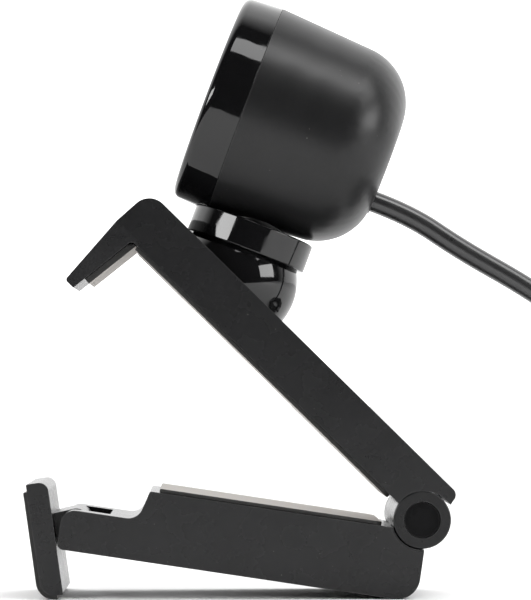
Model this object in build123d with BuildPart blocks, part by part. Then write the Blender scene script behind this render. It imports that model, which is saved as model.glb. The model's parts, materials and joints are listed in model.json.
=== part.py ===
from build123d import *
from math import asin, cos, degrees, pi, radians, sin, tan
import os

os.makedirs("parts", exist_ok=True)

# A webcam on a folding monitor clip, in millimetres.
# +X points to the rear, +Z up; the camera head looks towards -X and upwards.
# The origin is under the middle of the object, on the surface it stands on.

# ---------- driving dimensions ----------
WIDTH = 30.0                 # width of both clip arms, along Y
HALF = WIDTH / 2

HINGE_X = 36.533             # axis of the clip's hinge
HINGE_Z = 15.802
UPPER_ANGLE = 135.5          # direction of the upper arm, from +X towards +Z
LOWER_ANGLE = 171.5          # direction of the lower arm
HEAD_ANGLE = 159.4           # direction that the camera looks in
FOOT_ANGLE = 188.2           # outward direction of the foot

BARREL_R = 5.78              # hinge barrel
KNUCKLE_HALF = 5.0           # half length of the lower arm's middle knuckle
SIDE_GAP = 0.15              # end play between knuckles
KNUCKLE_PLAY = 0.3
PIN_R = 2.0
BUSH_R = 3.1
RUNNING = 0.04               # radial clearance of a running fit
CAP_DEPTH = 1.6
RECESS_R = 3.7
RECESS_DEPTH = 0.9

ARM_TOP = 8.74               # upper arm's top face above the hinge axis
ARM_UNDER = -0.95            # lower edge of the upper arm's side walls
LIP_A = 85.6                 # outer face of the lip, from the hinge axis
LIP_TIP = -15.84
LIP_INNER = 80.6             # inner face of the lip, at its root and at its tip
LIP_INNER_TIP = 82.4
WALL = 1.6
PLATE = 1.2                  # thickness of the two cover plates
PAD = 0.8                    # thickness of the rubber pads
PAD_HALF = 14.2

LOWER_TOP = -2.34            # lower arm's top face below the hinge axis
LOWER_BOTTOM = -16.42
LOWER_REAR = -1.3
BLOCK_END = 54.7
NECK_TOP = -8.3
NECK_END = 71.4
BARREL_CLEAR = 6.0           # radius of the lower arm's hollow round the barrel
BARREL_STEP_R = 6.4
BARREL_STEP = 0.5

FOOT_PIN_A = 68.6            # axis of the foot's pin, in the lower arm's frame
FOOT_PIN_B = -10.75
FOOT_PIN_R = 1.25
FORK_START = 62.0
FORK_LENGTH = 12.0
FORK_HALF = 9.2              # half width of the fork's slot
TONGUE_HALF = 9.0
FOOT_IN = 4.3                # foot's inner and outer faces, from its pin
FOOT_OUT = 8.6
FOOT_TOP = 8.94
FOOT_BOTTOM = -13.8

BALL_A = 60.7                # ball centre, in the upper arm's frame
BALL_B = 8.24
BALL_R = 13.0
SOCKET_R = 13.15
BALL_CUT_FRONT = -2.4        # slanted flat underside of the ball
BALL_CUT_REAR = -4.8
BALL_INNER_R = 10.9
DISC_LOW = 6.3
DISC_HIGH = 12.1
DISC_R = 12.7
DOME_R = 7.6                 # fixed dome inside the hollow ball
DOME_WALL = 0.9

BARREL_AXIS = 33.6           # camera head's axis above the ball centre
HEAD_R = 22.1                # at the seam, where the head is widest
SEAM = 10.1
FRONT = 18.15
REAR = -21.0
FRONT_TAPER = 3.3
REAR_TAPER = 3.9
REAR_ROUND = 12.0
HEAD_WALL = 1.8

CORD_R = 2.2
EXIT_U = 25.2                # cord's exit above the ball centre


def side_plane(x, z, angle):
    """Plane across the width, with its x along the given direction in the XZ plane."""
    direction = (cos(radians(angle)), 0, sin(radians(angle)))
    return Plane(origin=(x, 0, z), x_dir=direction, z_dir=(0, 1, 0))


def place(plane, along, up, across=0.0):
    """Point of the shared frame for local coordinates on a side plane."""
    return plane.from_local_coords(Vector(along, up, across))


UPPER = side_plane(HINGE_X, HINGE_Z, UPPER_ANGLE)
LOWER = side_plane(HINGE_X, HINGE_Z, LOWER_ANGLE)
BALL_CENTRE = place(UPPER, BALL_A, BALL_B)
HEAD = side_plane(BALL_CENTRE.X, BALL_CENTRE.Z, HEAD_ANGLE)
FOOT_PIN = place(LOWER, FOOT_PIN_A, FOOT_PIN_B)
FOOT = side_plane(FOOT_PIN.X, FOOT_PIN.Z, FOOT_ANGLE)

FORWARD = HEAD.x_dir
HEAD_UP = HEAD.y_dir
LENS_CENTRE = place(HEAD, 0, BARREL_AXIS)
LENS_AXIS = Axis(LENS_CENTRE, FORWARD)


def across_axis(plane, along, up, across):
    """Plane parallel to the arm's top face, seen from above it, at a local point."""
    return Plane(origin=place(plane, along, up, across), x_dir=plane.x_dir, z_dir=plane.y_dir)


def lens_plane(forward):
    """Plane square to the lens axis; its x points to -Y and its y along the head's up."""
    return Plane(origin=place(HEAD, forward, BARREL_AXIS), x_dir=(0, -1, 0), z_dir=FORWARD)


def stem_plane(up):
    """Plane square to the swivel axis at a height above the ball centre."""
    return Plane(origin=place(HEAD, 0, up), x_dir=FORWARD, z_dir=HEAD_UP)


def rounded_face(corners):
    """Closed outline from (x, y, radius) corners; radius 0 keeps a corner sharp."""
    with BuildSketch(Plane.XY) as shape:
        with BuildLine():
            Polyline(*[(x, y) for x, y, radius in corners], close=True)
        make_face()
        for x, y, radius in corners:
            if radius:
                fillet(shape.vertices().sort_by_distance((x, y, 0))[0], radius)
    return shape.sketch


def finish(builder, name):
    """Label a finished piece and write its STEP file."""
    builder.part.label = name
    export_step(builder.part, f"parts/{name}.step")


# ---------- upper arm ----------
SCREW_R = 0.9
SCREW_HEAD_R = 1.8
POCKET_START = 15.0
POCKET_END = 41.5
POCKET_TOP = ARM_TOP - WALL
COVER_START = 8.6
COVER_END = 78.5
COVER_HALF = 13.4
COVER_TOP = ARM_UNDER + PLATE
COVER_SCREWS = [(a, y) for a in (12.0, 44.6, 76.6) for y in (-9.5, 9.5)]
SCREW_LENGTH = 6.0
SCREW_HEAD = 0.7             # height of a screw's head
CROSS = (2.0, 0.4, 0.4)      # length, width and depth of a screw's cross recess
PLAY = 0.1                   # gap between a cover plate and its recess
LIP_START = 79.0
LIP_TIP_HALF = 14.0          # half width of the lip at its tip
CORNER = 1.5                 # corner radius of the hollows

upper_outline = rounded_face([
    (-1.9, 6.15, 0),
    (-1.5, ARM_TOP, 1.6),
    (85.0, ARM_TOP, 3.9),
    (LIP_A, -0.12, 0),
    (84.7, LIP_TIP, 0.7),
    (LIP_INNER_TIP, LIP_TIP, 0.2),
    (LIP_INNER, ARM_UNDER, 0.9),
    (5.6, ARM_UNDER, 0),
    (3.0, 0, 0),
    (2.9, 5.1, 0),
    (1.0, 6.05, 0),
])

with BuildPart() as upper_arm:
    with BuildSketch(UPPER):
        add(upper_outline)
    extrude(amount=HALF, both=True)
    # the lip's sides draw in towards its tip
    lip_end = Plane(origin=place(UPPER, LIP_START, 0), x_dir=(0, 1, 0), z_dir=UPPER.x_dir)
    with BuildSketch(lip_end):
        for side in (-1, 1):
            with BuildLine():
                Polyline(
                    (side * HALF, 0),
                    (side * (HALF + 1), 0),
                    (side * (HALF + 1), 1 - LIP_TIP),
                    (side * LIP_TIP_HALF, 1 - LIP_TIP),
                    close=True,
                )
            make_face()
    extrude(amount=LIP_A - LIP_START + 1, mode=Mode.SUBTRACT)
    for start in (-HALF, KNUCKLE_HALF + SIDE_GAP):
        with BuildSketch(UPPER.offset(start)):
            Circle(BARREL_R)
        extrude(amount=HALF - KNUCKLE_HALF - SIDE_GAP)
    # room for the lower arm's knuckle, the bushes and the end caps
    with BuildSketch(UPPER):
        Circle(BARREL_R + KNUCKLE_PLAY)
    extrude(amount=KNUCKLE_HALF + SIDE_GAP, both=True, mode=Mode.SUBTRACT)
    with BuildSketch(UPPER):
        Circle(BUSH_R)
    extrude(amount=HALF, both=True, mode=Mode.SUBTRACT)
    for start in (-HALF, HALF - CAP_DEPTH):
        with BuildSketch(UPPER.offset(start)):
            Circle(BARREL_R)
        extrude(amount=CAP_DEPTH, mode=Mode.SUBTRACT)
    # hollow under the cover plate
    with BuildSketch(across_axis(UPPER, (COVER_START + COVER_END) / 2, ARM_UNDER, 0)):
        Rectangle(COVER_END - COVER_START, 2 * COVER_HALF)
    extrude(amount=PLATE, mode=Mode.SUBTRACT)
    with BuildSketch(across_axis(UPPER, (POCKET_START + POCKET_END) / 2, COVER_TOP, 0)):
        RectangleRounded(POCKET_END - POCKET_START, 2 * (HALF - WALL), CORNER)
    extrude(amount=POCKET_TOP - COVER_TOP, mode=Mode.SUBTRACT)
    # spherical seat of the ball
    with Locations(BALL_CENTRE):
        Sphere(SOCKET_R, mode=Mode.SUBTRACT)
    for a, y in COVER_SCREWS:
        with BuildSketch(across_axis(UPPER, a, COVER_TOP, y)):
            Circle(SCREW_R)
        extrude(amount=SCREW_LENGTH - PLATE, mode=Mode.SUBTRACT)
finish(upper_arm, "upper_arm")



def cover_plate(plane, low, start, end, screws):
    """Cover plate with its underside at a height and stepped screw holes."""
    with BuildPart() as plate:
        with BuildSketch(across_axis(plane, (start + end) / 2, low, 0)):
            Rectangle(end - start - 2 * PLAY, 2 * COVER_HALF - 2 * PLAY)
        extrude(amount=PLATE)
        for along, across in screws:
            hole = across_axis(plane, along, low, across)
            with BuildSketch(hole):
                Circle(SCREW_R)
            extrude(amount=PLATE, mode=Mode.SUBTRACT)
            with BuildSketch(hole):
                Circle(SCREW_HEAD_R)
            extrude(amount=SCREW_HEAD, mode=Mode.SUBTRACT)
    return plate.part


def cover_screws(plane, low, screws):
    """Cross-recess screws with their heads level with a cover plate's underside."""
    with BuildPart() as group:
        for along, across in screws:
            hole = across_axis(plane, along, low, across)
            with BuildSketch(hole):
                Circle(SCREW_HEAD_R)
            extrude(amount=SCREW_HEAD)
            with BuildSketch(hole):
                Circle(SCREW_R)
            extrude(amount=SCREW_LENGTH)
            with BuildSketch(hole):
                Rectangle(CROSS[0], CROSS[1])
                Rectangle(CROSS[1], CROSS[0])
            extrude(amount=CROSS[2], mode=Mode.SUBTRACT)
    return group.part


SEAT_SCREW_R = 0.6
SEAT_SCREW_ORBIT = 8.4
SEAT_SCREW_POINTS = [
    (SEAT_SCREW_ORBIT * cos(radians(angle)), SEAT_SCREW_ORBIT * sin(radians(angle)))
    for angle in (90, 210, 330)
]

with BuildPart() as arm_cover:
    add(cover_plate(UPPER, ARM_UNDER, COVER_START, COVER_END, COVER_SCREWS))
    # access hole under the ball's clamp, closed by the pad
    with BuildSketch(across_axis(UPPER, BALL_A, ARM_UNDER, 0)):
        Circle(DOME_R - DOME_WALL)
        with Locations(*SEAT_SCREW_POINTS):
            Circle(SEAT_SCREW_R)
    extrude(amount=PLATE, mode=Mode.SUBTRACT)
finish(arm_cover, "arm_cover")

with BuildPart() as arm_cover_screws:
    add(cover_screws(UPPER, ARM_UNDER, COVER_SCREWS))
finish(arm_cover_screws, "arm_cover_screws")

# ---------- ball seat and clamp inside the arm ----------
SEAT_FLOOR = BALL_B - COVER_TOP          # depth of the cover plate under the ball centre
FLANGE_R = 9.2
FLANGE = 0.6
ARM_UP = UPPER.y_dir


def seat_plane(depth):
    """Plane parallel to the arm's top face, at a depth under the ball centre."""
    return Plane(origin=place(UPPER, BALL_A, BALL_B - depth), x_dir=UPPER.x_dir, z_dir=ARM_UP)


SEAT = Plane(origin=BALL_CENTRE, x_dir=UPPER.x_dir, z_dir=(0, 1, 0))
SEAT_AXIS = Axis(BALL_CENTRE, ARM_UP)
TILT_LEAN = HEAD_ANGLE - UPPER_ANGLE     # lean of the swivel axis off the arm's normal, at rest
TILT_RANGE = 38.0
TILT_BACK = TILT_RANGE - TILT_LEAN
ROLL_RANGE = 6.0
STEM_R = 1.4
STEM_ROOM = 0.6              # room round the stem in the dome's slot
SLOT_HALF = DOME_R * sin(radians(ROLL_RANGE)) + STEM_R + STEM_ROOM
SLOT_START = 3.0             # height above the ball centre from which the slot is open

with BuildPart() as ball_seat:
    with BuildSketch(SEAT):
        with BuildLine():
            Line((0, DOME_R), (0, DOME_R - DOME_WALL))
            CenterArc((0, 0), DOME_R - DOME_WALL, 0, 90)
            Polyline(
                (DOME_R - DOME_WALL, 0),
                (DOME_R - DOME_WALL, -SEAT_FLOOR),
                (FLANGE_R, -SEAT_FLOOR),
                (FLANGE_R, -SEAT_FLOOR + FLANGE),
                (DOME_R, -SEAT_FLOOR + FLANGE),
                (DOME_R, 0),
            )
            CenterArc((0, 0), DOME_R, 0, 90)
        make_face()
    revolve(axis=SEAT_AXIS)
    # slot along the arm for the stem
    slot_front = DOME_R * sin(radians(TILT_LEAN)) + STEM_R + STEM_ROOM
    slot_back = DOME_R * sin(radians(TILT_BACK)) + STEM_R + STEM_ROOM
    with BuildSketch(across_axis(UPPER, BALL_A + (slot_front - slot_back) / 2, BALL_B + SLOT_START, 0)):
        RectangleRounded(slot_front + slot_back, 2 * SLOT_HALF, 1.2)
    extrude(amount=DOME_R - SLOT_START + 1, mode=Mode.SUBTRACT)
    with BuildSketch(seat_plane(SEAT_FLOOR)):
        with Locations(*SEAT_SCREW_POINTS):
            Circle(SEAT_SCREW_R)
    extrude(amount=FLANGE, mode=Mode.SUBTRACT)
finish(ball_seat, "ball_seat")

with BuildPart() as seat_screws:
    with BuildSketch(seat_plane(SEAT_FLOOR + PLATE)):
        with Locations(*SEAT_SCREW_POINTS):
            Circle(SEAT_SCREW_R)
    extrude(amount=PLATE + FLANGE)
finish(seat_screws, "seat_screws")

CUP_OUT = DOME_R - DOME_WALL - 0.1
CUP_IN = CUP_OUT - 0.9
CUP_RIM = 2.6
STEM_PLAY = 0.15             # radial gap between the stem and the cup's slot

with BuildPart() as clamp_cup:
    with Locations(BALL_CENTRE):
        Sphere(CUP_OUT)
        Sphere(CUP_IN, mode=Mode.SUBTRACT)
    with BuildSketch(stem_plane(CUP_RIM)):
        Circle(BALL_R)
    extrude(amount=-BALL_R, mode=Mode.SUBTRACT)
    # the stem may lean sideways through the cup, but not along the arm
    with BuildSketch(stem_plane(CUP_RIM)):
        SlotOverall(2 * SLOT_HALF - STEM_ROOM, 2 * (STEM_R + STEM_PLAY), rotation=90)
    extrude(amount=CUP_OUT, mode=Mode.SUBTRACT)
finish(clamp_cup, "clamp_cup")

CONE_R = CUP_IN - 0.1
CONE_LOW = 2.9

with BuildPart() as clamp_cone:
    with Locations(BALL_CENTRE):
        Sphere(CONE_R)
    with BuildSketch(stem_plane(CONE_LOW)):
        Circle(BALL_R)
    extrude(amount=-BALL_R, mode=Mode.SUBTRACT)
    with BuildSketch(stem_plane(0)):
        Circle(STEM_R)
    extrude(amount=BALL_R, mode=Mode.SUBTRACT)
finish(clamp_cone, "clamp_cone")

SPRING_R = 2.5
WIRE_R = 0.35
CONTACT = 0.05               # gap left between pieces that rest on each other
SPRING_LOW = -1.2
SPRING_TURNS = 4
NUT_WASHER_R = 3.1
NUT_WASHER = 0.5
NUT_R = 2.6
NUT = 1.8

with BuildPart() as clamp_spring:
    with BuildLine() as spring_line:
        spring_height = CONE_LOW - SPRING_LOW - 2 * WIRE_R - CONTACT
        Helix(
            pitch=spring_height / SPRING_TURNS,
            height=spring_height,
            radius=SPRING_R,
            center=place(HEAD, 0, SPRING_LOW + WIRE_R),
            direction=HEAD_UP,
        )
    with BuildSketch(Plane(origin=spring_line.line @ 0, z_dir=spring_line.line % 0)):
        Circle(WIRE_R)
    sweep()
finish(clamp_spring, "clamp_spring")

with BuildPart() as clamp_nut:
    with BuildSketch(stem_plane(SPRING_LOW)):
        Circle(NUT_WASHER_R)
    extrude(amount=-NUT_WASHER)
    with BuildSketch(stem_plane(SPRING_LOW - NUT_WASHER)):
        RegularPolygon(radius=NUT_R, side_count=6, major_radius=True)
    extrude(amount=-NUT)
    with BuildSketch(stem_plane(SPRING_LOW)):
        Circle(STEM_R)
    extrude(amount=-BALL_R, mode=Mode.SUBTRACT)
finish(clamp_nut, "clamp_nut")

# ---------- ball, disc and stem ----------
POCKET_R = 8.7
POCKET_HIGH = 8.6
PIVOT_R = 1.8
HEX_LOW = 9.6                # hexagon of the stem, sunk in the disc
HEX_HIGH = 11.2
HEX_R = 3.4
STEM_LOW = -4.6
PIVOT_TOP = 19.4

cut_slope = (BALL_CUT_FRONT - BALL_CUT_REAR) / (2 * BALL_R)
ball_cut = Plane(
    origin=place(HEAD, 0, (BALL_CUT_FRONT + BALL_CUT_REAR) / 2),
    x_dir=FORWARD + HEAD_UP * cut_slope,
    z_dir=HEAD_UP - FORWARD * cut_slope,
)

with BuildPart() as ball:
    with Locations(BALL_CENTRE):
        Sphere(BALL_R)
        Sphere(BALL_INNER_R, mode=Mode.SUBTRACT)
    with BuildSketch(ball_cut):
        Circle(2 * BALL_R)
    extrude(amount=-2 * BALL_R, mode=Mode.SUBTRACT)
    with BuildSketch(stem_plane(DISC_LOW)):
        Circle(2 * BALL_R)
    extrude(amount=2 * BALL_R, mode=Mode.SUBTRACT)
finish(ball, "ball")

with BuildPart() as swivel_disc:
    with BuildSketch(stem_plane(DISC_LOW)):
        Circle(DISC_R)
    extrude(amount=DISC_HIGH - DISC_LOW)
    fillet(swivel_disc.edges().filter_by(GeomType.CIRCLE), 0.35)
    with BuildSketch(stem_plane(DISC_LOW)):
        Circle(POCKET_R)
    extrude(amount=POCKET_HIGH - DISC_LOW, mode=Mode.SUBTRACT)
    with BuildSketch(stem_plane(DISC_LOW)):
        Circle(STEM_R)
    extrude(amount=DISC_HIGH - DISC_LOW, mode=Mode.SUBTRACT)
    with BuildSketch(stem_plane(HEX_LOW)):
        RegularPolygon(radius=HEX_R, side_count=6, major_radius=True)
    extrude(amount=DISC_HIGH - HEX_LOW, mode=Mode.SUBTRACT)
finish(swivel_disc, "swivel_disc")

with BuildPart() as centre_stem:
    with BuildSketch(stem_plane(STEM_LOW)):
        Circle(STEM_R)
    extrude(amount=HEX_LOW - STEM_LOW)
    with BuildSketch(stem_plane(HEX_LOW)):
        RegularPolygon(radius=HEX_R, side_count=6, major_radius=True)
    extrude(amount=HEX_HIGH - HEX_LOW)
    with BuildSketch(stem_plane(HEX_HIGH)):
        Circle(PIVOT_R)
    extrude(amount=PIVOT_TOP - HEX_HIGH)
finish(centre_stem, "centre_stem")

BOSS_LOW = DISC_HIGH + 0.1
BOSS_R = 6.0
DISC_ROOM = DISC_R + 0.25    # shallow recess in the head's underside
FLOOR_HIGH = 16.6
PAN_WASHER = 0.5
PAN_WASHER_R = 3.6
PAN_NUT_R = 3.1
PAN_NUT = 1.8

with BuildPart() as pan_washer:
    with BuildSketch(stem_plane(FLOOR_HIGH + CONTACT)):
        Circle(PAN_WASHER_R)
        Circle(PIVOT_R, mode=Mode.SUBTRACT)
    extrude(amount=PAN_WASHER)
finish(pan_washer, "pan_washer")

with BuildPart() as pan_nut:
    with BuildSketch(stem_plane(FLOOR_HIGH + CONTACT + PAN_WASHER)):
        RegularPolygon(radius=PAN_NUT_R, side_count=6, major_radius=True)
        Circle(PIVOT_R, mode=Mode.SUBTRACT)
    extrude(amount=PAN_NUT)
finish(pan_nut, "pan_nut")

# ---------- pads of the upper arm ----------
ARM_PAD_START = 8.0
ARM_PAD_END = 79.0
PAD_CORNER = 1.5
LIP_PAD_HALF = 13.4
LIP_PAD = 1.3
LIP_PAD_LENGTH = 12.0

with BuildPart() as arm_pad:
    with BuildSketch(across_axis(UPPER, (ARM_PAD_START + ARM_PAD_END) / 2, ARM_UNDER - PAD, 0)):
        pad_shape = Rectangle(ARM_PAD_END - ARM_PAD_START, 2 * PAD_HALF)
        chamfer(pad_shape.vertices().group_by(Axis.X)[0], PAD_CORNER)
    extrude(amount=PAD)
finish(arm_pad, "arm_pad")

lip_slope = (LIP_INNER_TIP - LIP_INNER) / (ARM_UNDER - LIP_TIP)

with BuildPart() as lip_pad:
    with BuildSketch(UPPER):
        with BuildLine():
            Polyline(
                (LIP_INNER - LIP_PAD, ARM_UNDER - 0.1),
                (LIP_INNER - 0.6, ARM_UNDER - 0.2),
                (LIP_INNER + 1.2 * lip_slope, ARM_UNDER - 1.2),
                (LIP_INNER + LIP_PAD_LENGTH * lip_slope, ARM_UNDER - LIP_PAD_LENGTH),
                (LIP_INNER + LIP_PAD_LENGTH * lip_slope - LIP_PAD, ARM_UNDER - LIP_PAD_LENGTH - 0.1),
                close=True,
            )
        make_face()
    extrude(amount=LIP_PAD_HALF, both=True)
finish(lip_pad, "lip_pad")

# ---------- hinge ----------
CAP_STUB = 0.4               # the caps' stubs in the bush bores

with BuildPart() as hinge_bushes:
    for start in (-HALF + CAP_DEPTH + CAP_STUB, KNUCKLE_HALF + SIDE_GAP):
        with BuildSketch(UPPER.offset(start)):
            Circle(BUSH_R)
            Circle(PIN_R + RUNNING, mode=Mode.SUBTRACT)
        extrude(amount=HALF - CAP_DEPTH - CAP_STUB - KNUCKLE_HALF - SIDE_GAP)
finish(hinge_bushes, "hinge_bushes")

for side, name in ((-1, "hinge_cap_left"), (1, "hinge_cap_right")):
    outer_face = UPPER.offset(side * HALF)
    with BuildPart() as hinge_cap:
        with BuildSketch(outer_face):
            Circle(BARREL_R)
        extrude(amount=-side * CAP_DEPTH)
        with BuildSketch(outer_face):
            Circle(BUSH_R)
        extrude(amount=-side * (CAP_DEPTH + CAP_STUB))
        with BuildSketch(outer_face):
            Circle(RECESS_R)
        extrude(amount=-side * RECESS_DEPTH, taper=12, mode=Mode.SUBTRACT)
        rim = hinge_cap.edges().filter_by(GeomType.CIRCLE).group_by(SortBy.RADIUS)[-1]
        fillet(rim.sort_by(Axis.Y)[0 if side < 0 else -1], 0.35)
    finish(hinge_cap, name)

with BuildPart() as hinge_pin:
    with BuildSketch(UPPER):
        Circle(PIN_R)
    extrude(amount=HALF - CAP_DEPTH - CAP_STUB - PLAY, both=True)
    chamfer(hinge_pin.edges().filter_by(GeomType.CIRCLE), 0.3)
finish(hinge_pin, "hinge_pin")

# ---------- lower arm ----------
LOWER_POCKET_START = 9.5
LOWER_POCKET_END = 50.0
LOWER_COVER_START = 6.5
LOWER_COVER_END = 53.0
LOWER_COVER_TOP = LOWER_BOTTOM + PLATE
LOWER_SCREWS = [(a, y) for a in (12.4, 47.0) for y in (-10.2, 10.2)]
POST_R = 2.2
LOWER_PAD_START = 7.8
LOWER_PAD_END = 52.8

lower_outline = rounded_face([
    (LOWER_REAR, LOWER_TOP, 0),
    (BLOCK_END, LOWER_TOP, 0.5),
    (56.3, NECK_TOP, 3.0),
    (NECK_END, NECK_TOP, 2.75),
    (NECK_END, LOWER_BOTTOM, 1.2),
    (LOWER_REAR, LOWER_BOTTOM, 4.6),
])

with BuildPart() as lower_arm:
    with BuildSketch(LOWER):
        add(lower_outline)
    extrude(amount=HALF, both=True)
    # hollow round the upper arm's knuckles
    for start in (-HALF - 1, KNUCKLE_HALF):
        with BuildSketch(LOWER.offset(start)):
            Circle(BARREL_CLEAR)
        extrude(amount=HALF + 1 - KNUCKLE_HALF, mode=Mode.SUBTRACT)
    for start in (-HALF, HALF - BARREL_STEP):
        with BuildSketch(LOWER.offset(start)):
            Circle(BARREL_STEP_R)
        extrude(amount=BARREL_STEP, mode=Mode.SUBTRACT)
    with BuildSketch(LOWER):
        Circle(BARREL_R)
    extrude(amount=KNUCKLE_HALF, both=True)
    with BuildSketch(LOWER):
        Circle(PIN_R)
    extrude(amount=KNUCKLE_HALF, both=True, mode=Mode.SUBTRACT)
    # fork for the foot's tongue
    with BuildSketch(across_axis(LOWER, FORK_START + FORK_LENGTH / 2, LOWER_BOTTOM - 1, 0)):
        Rectangle(FORK_LENGTH, 2 * FORK_HALF)
    extrude(amount=NECK_TOP - LOWER_BOTTOM + 2, mode=Mode.SUBTRACT)
    with BuildSketch(FOOT):
        Circle(FOOT_PIN_R + RUNNING)
    extrude(amount=HALF - WALL, both=True, mode=Mode.SUBTRACT)
    # hollow under the cover plate, with four screw posts
    with BuildSketch(across_axis(LOWER, (LOWER_COVER_START + LOWER_COVER_END) / 2, LOWER_BOTTOM, 0)):
        Rectangle(LOWER_COVER_END - LOWER_COVER_START, 2 * COVER_HALF)
    extrude(amount=PLATE, mode=Mode.SUBTRACT)
    with BuildSketch(across_axis(LOWER, (LOWER_POCKET_START + LOWER_POCKET_END) / 2, LOWER_COVER_TOP, 0)):
        RectangleRounded(LOWER_POCKET_END - LOWER_POCKET_START, 2 * (HALF - WALL), CORNER)
    extrude(amount=LOWER_TOP - WALL - LOWER_COVER_TOP, mode=Mode.SUBTRACT)
    for a, y in LOWER_SCREWS:
        with BuildSketch(across_axis(LOWER, a, LOWER_COVER_TOP, y)):
            Circle(POST_R)
        extrude(amount=LOWER_TOP - WALL - LOWER_COVER_TOP)
        with BuildSketch(across_axis(LOWER, a, LOWER_COVER_TOP, y)):
            Circle(SCREW_R)
        extrude(amount=SCREW_LENGTH - PLATE, mode=Mode.SUBTRACT)
finish(lower_arm, "lower_arm")

with BuildPart() as lower_cover:
    add(cover_plate(LOWER, LOWER_BOTTOM, LOWER_COVER_START, LOWER_COVER_END, LOWER_SCREWS))
finish(lower_cover, "lower_cover")

with BuildPart() as lower_cover_screws:
    add(cover_screws(LOWER, LOWER_BOTTOM, LOWER_SCREWS))
finish(lower_cover_screws, "lower_cover_screws")

with BuildPart() as lower_pad:
    with BuildSketch(across_axis(LOWER, (LOWER_PAD_START + LOWER_PAD_END) / 2, LOWER_TOP, 0)):
        strip = Rectangle(LOWER_PAD_END - LOWER_PAD_START, 2 * PAD_HALF)
        chamfer(strip.vertices().group_by(Axis.X)[0], PAD_CORNER)
    extrude(amount=PAD)
finish(lower_pad, "lower_pad")

# ---------- foot ----------
EYE_R = 2.6
FOOT_PAD_TOP = 7.4
FOOT_PAD_BACK = 5.5
FOOT_PAD_HALF = 14.5

foot_outline = rounded_face([
    (FOOT_IN, FOOT_TOP, 1.9),
    (FOOT_IN, FOOT_BOTTOM, 0.3),
    (FOOT_OUT, FOOT_BOTTOM, 3.0),
    (FOOT_OUT, FOOT_TOP, 0.3),
])

with BuildPart() as foot:
    with BuildSketch(FOOT):
        add(foot_outline)
    extrude(amount=HALF, both=True)
    with BuildSketch(FOOT):
        Circle(EYE_R)
        with BuildLine():
            Polyline((0, -EYE_R), (FOOT_IN + 0.5, -EYE_R), (FOOT_IN + 0.5, 2.2), (0, EYE_R), close=True)
        make_face()
    extrude(amount=TONGUE_HALF, both=True)
    with BuildSketch(FOOT):
        Circle(FOOT_PIN_R)
    extrude(amount=TONGUE_HALF, both=True, mode=Mode.SUBTRACT)
finish(foot, "foot")

with BuildPart() as foot_pin:
    with BuildSketch(FOOT):
        Circle(FOOT_PIN_R)
    extrude(amount=HALF - WALL - 0.2, both=True)
finish(foot_pin, "foot_pin")

FOOT_PAD_OUT = FOOT_OUT + PAD
FOOT_PAD_LOW = FOOT_BOTTOM - PAD

foot_pad_outline = rounded_face([
    (FOOT_OUT, FOOT_PAD_TOP, 0),
    (FOOT_PAD_OUT, FOOT_PAD_TOP, 0.25),
    (FOOT_PAD_OUT, FOOT_PAD_LOW, 3.7),
    (FOOT_PAD_BACK, FOOT_PAD_LOW, 0),
    (FOOT_PAD_BACK, FOOT_BOTTOM, 0),
    (FOOT_OUT, FOOT_BOTTOM, 3.0),
])

with BuildPart() as foot_pad:
    with BuildSketch(FOOT):
        add(foot_pad_outline)
    extrude(amount=FOOT_PAD_HALF, both=True)
finish(foot_pad, "foot_pad")

# ---------- camera head ----------
rear_r = HEAD_R - (SEAM - REAR) * tan(radians(REAR_TAPER))
rear_outer = rounded_face([
    (SEAM, 0, 0),
    (SEAM, HEAD_R, 0),
    (REAR, rear_r, REAR_ROUND),
    (REAR, 0, 0),
])
rear_inner = rounded_face([
    (SEAM + 1, 0, 0),
    (SEAM + 1, HEAD_R - HEAD_WALL, 0),
    (REAR + HEAD_WALL, rear_r - HEAD_WALL, REAR_ROUND - HEAD_WALL),
    (REAR + HEAD_WALL, 0, 0),
])
LENS_SIDE = side_plane(LENS_CENTRE.X, LENS_CENTRE.Z, HEAD_ANGLE)
EXIT_DROP = EXIT_U - BARREL_AXIS
GLAND_R = 2.6

with BuildPart() as rear_housing:
    with BuildSketch(LENS_SIDE):
        add(rear_outer)
    revolve(axis=LENS_AXIS)
    # boss that turns on the swivel disc
    with BuildSketch(stem_plane(BOSS_LOW)):
        Circle(BOSS_R)
    extrude(amount=FLOOR_HIGH - BOSS_LOW)
    with BuildSketch(LENS_SIDE):
        add(rear_inner)
    revolve(axis=LENS_AXIS, mode=Mode.SUBTRACT)
    with BuildSketch(stem_plane(BOSS_LOW + 1)):
        Circle(BOSS_R - 1)
    extrude(amount=FLOOR_HIGH - BOSS_LOW - 1)
    with BuildSketch(stem_plane(BOSS_LOW)):
        Circle(DISC_ROOM)
    extrude(amount=-FLOOR_HIGH, mode=Mode.SUBTRACT)
    with BuildSketch(stem_plane(BOSS_LOW - 1)):
        Circle(PIVOT_R + RUNNING)
    extrude(amount=FLOOR_HIGH - BOSS_LOW + 2, mode=Mode.SUBTRACT)
    with BuildSketch(lens_plane(REAR - 1)):
        with Locations((0, EXIT_DROP)):
            Circle(GLAND_R)
    extrude(amount=HEAD_WALL + 2, mode=Mode.SUBTRACT)
finish(rear_housing, "rear_housing")

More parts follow.
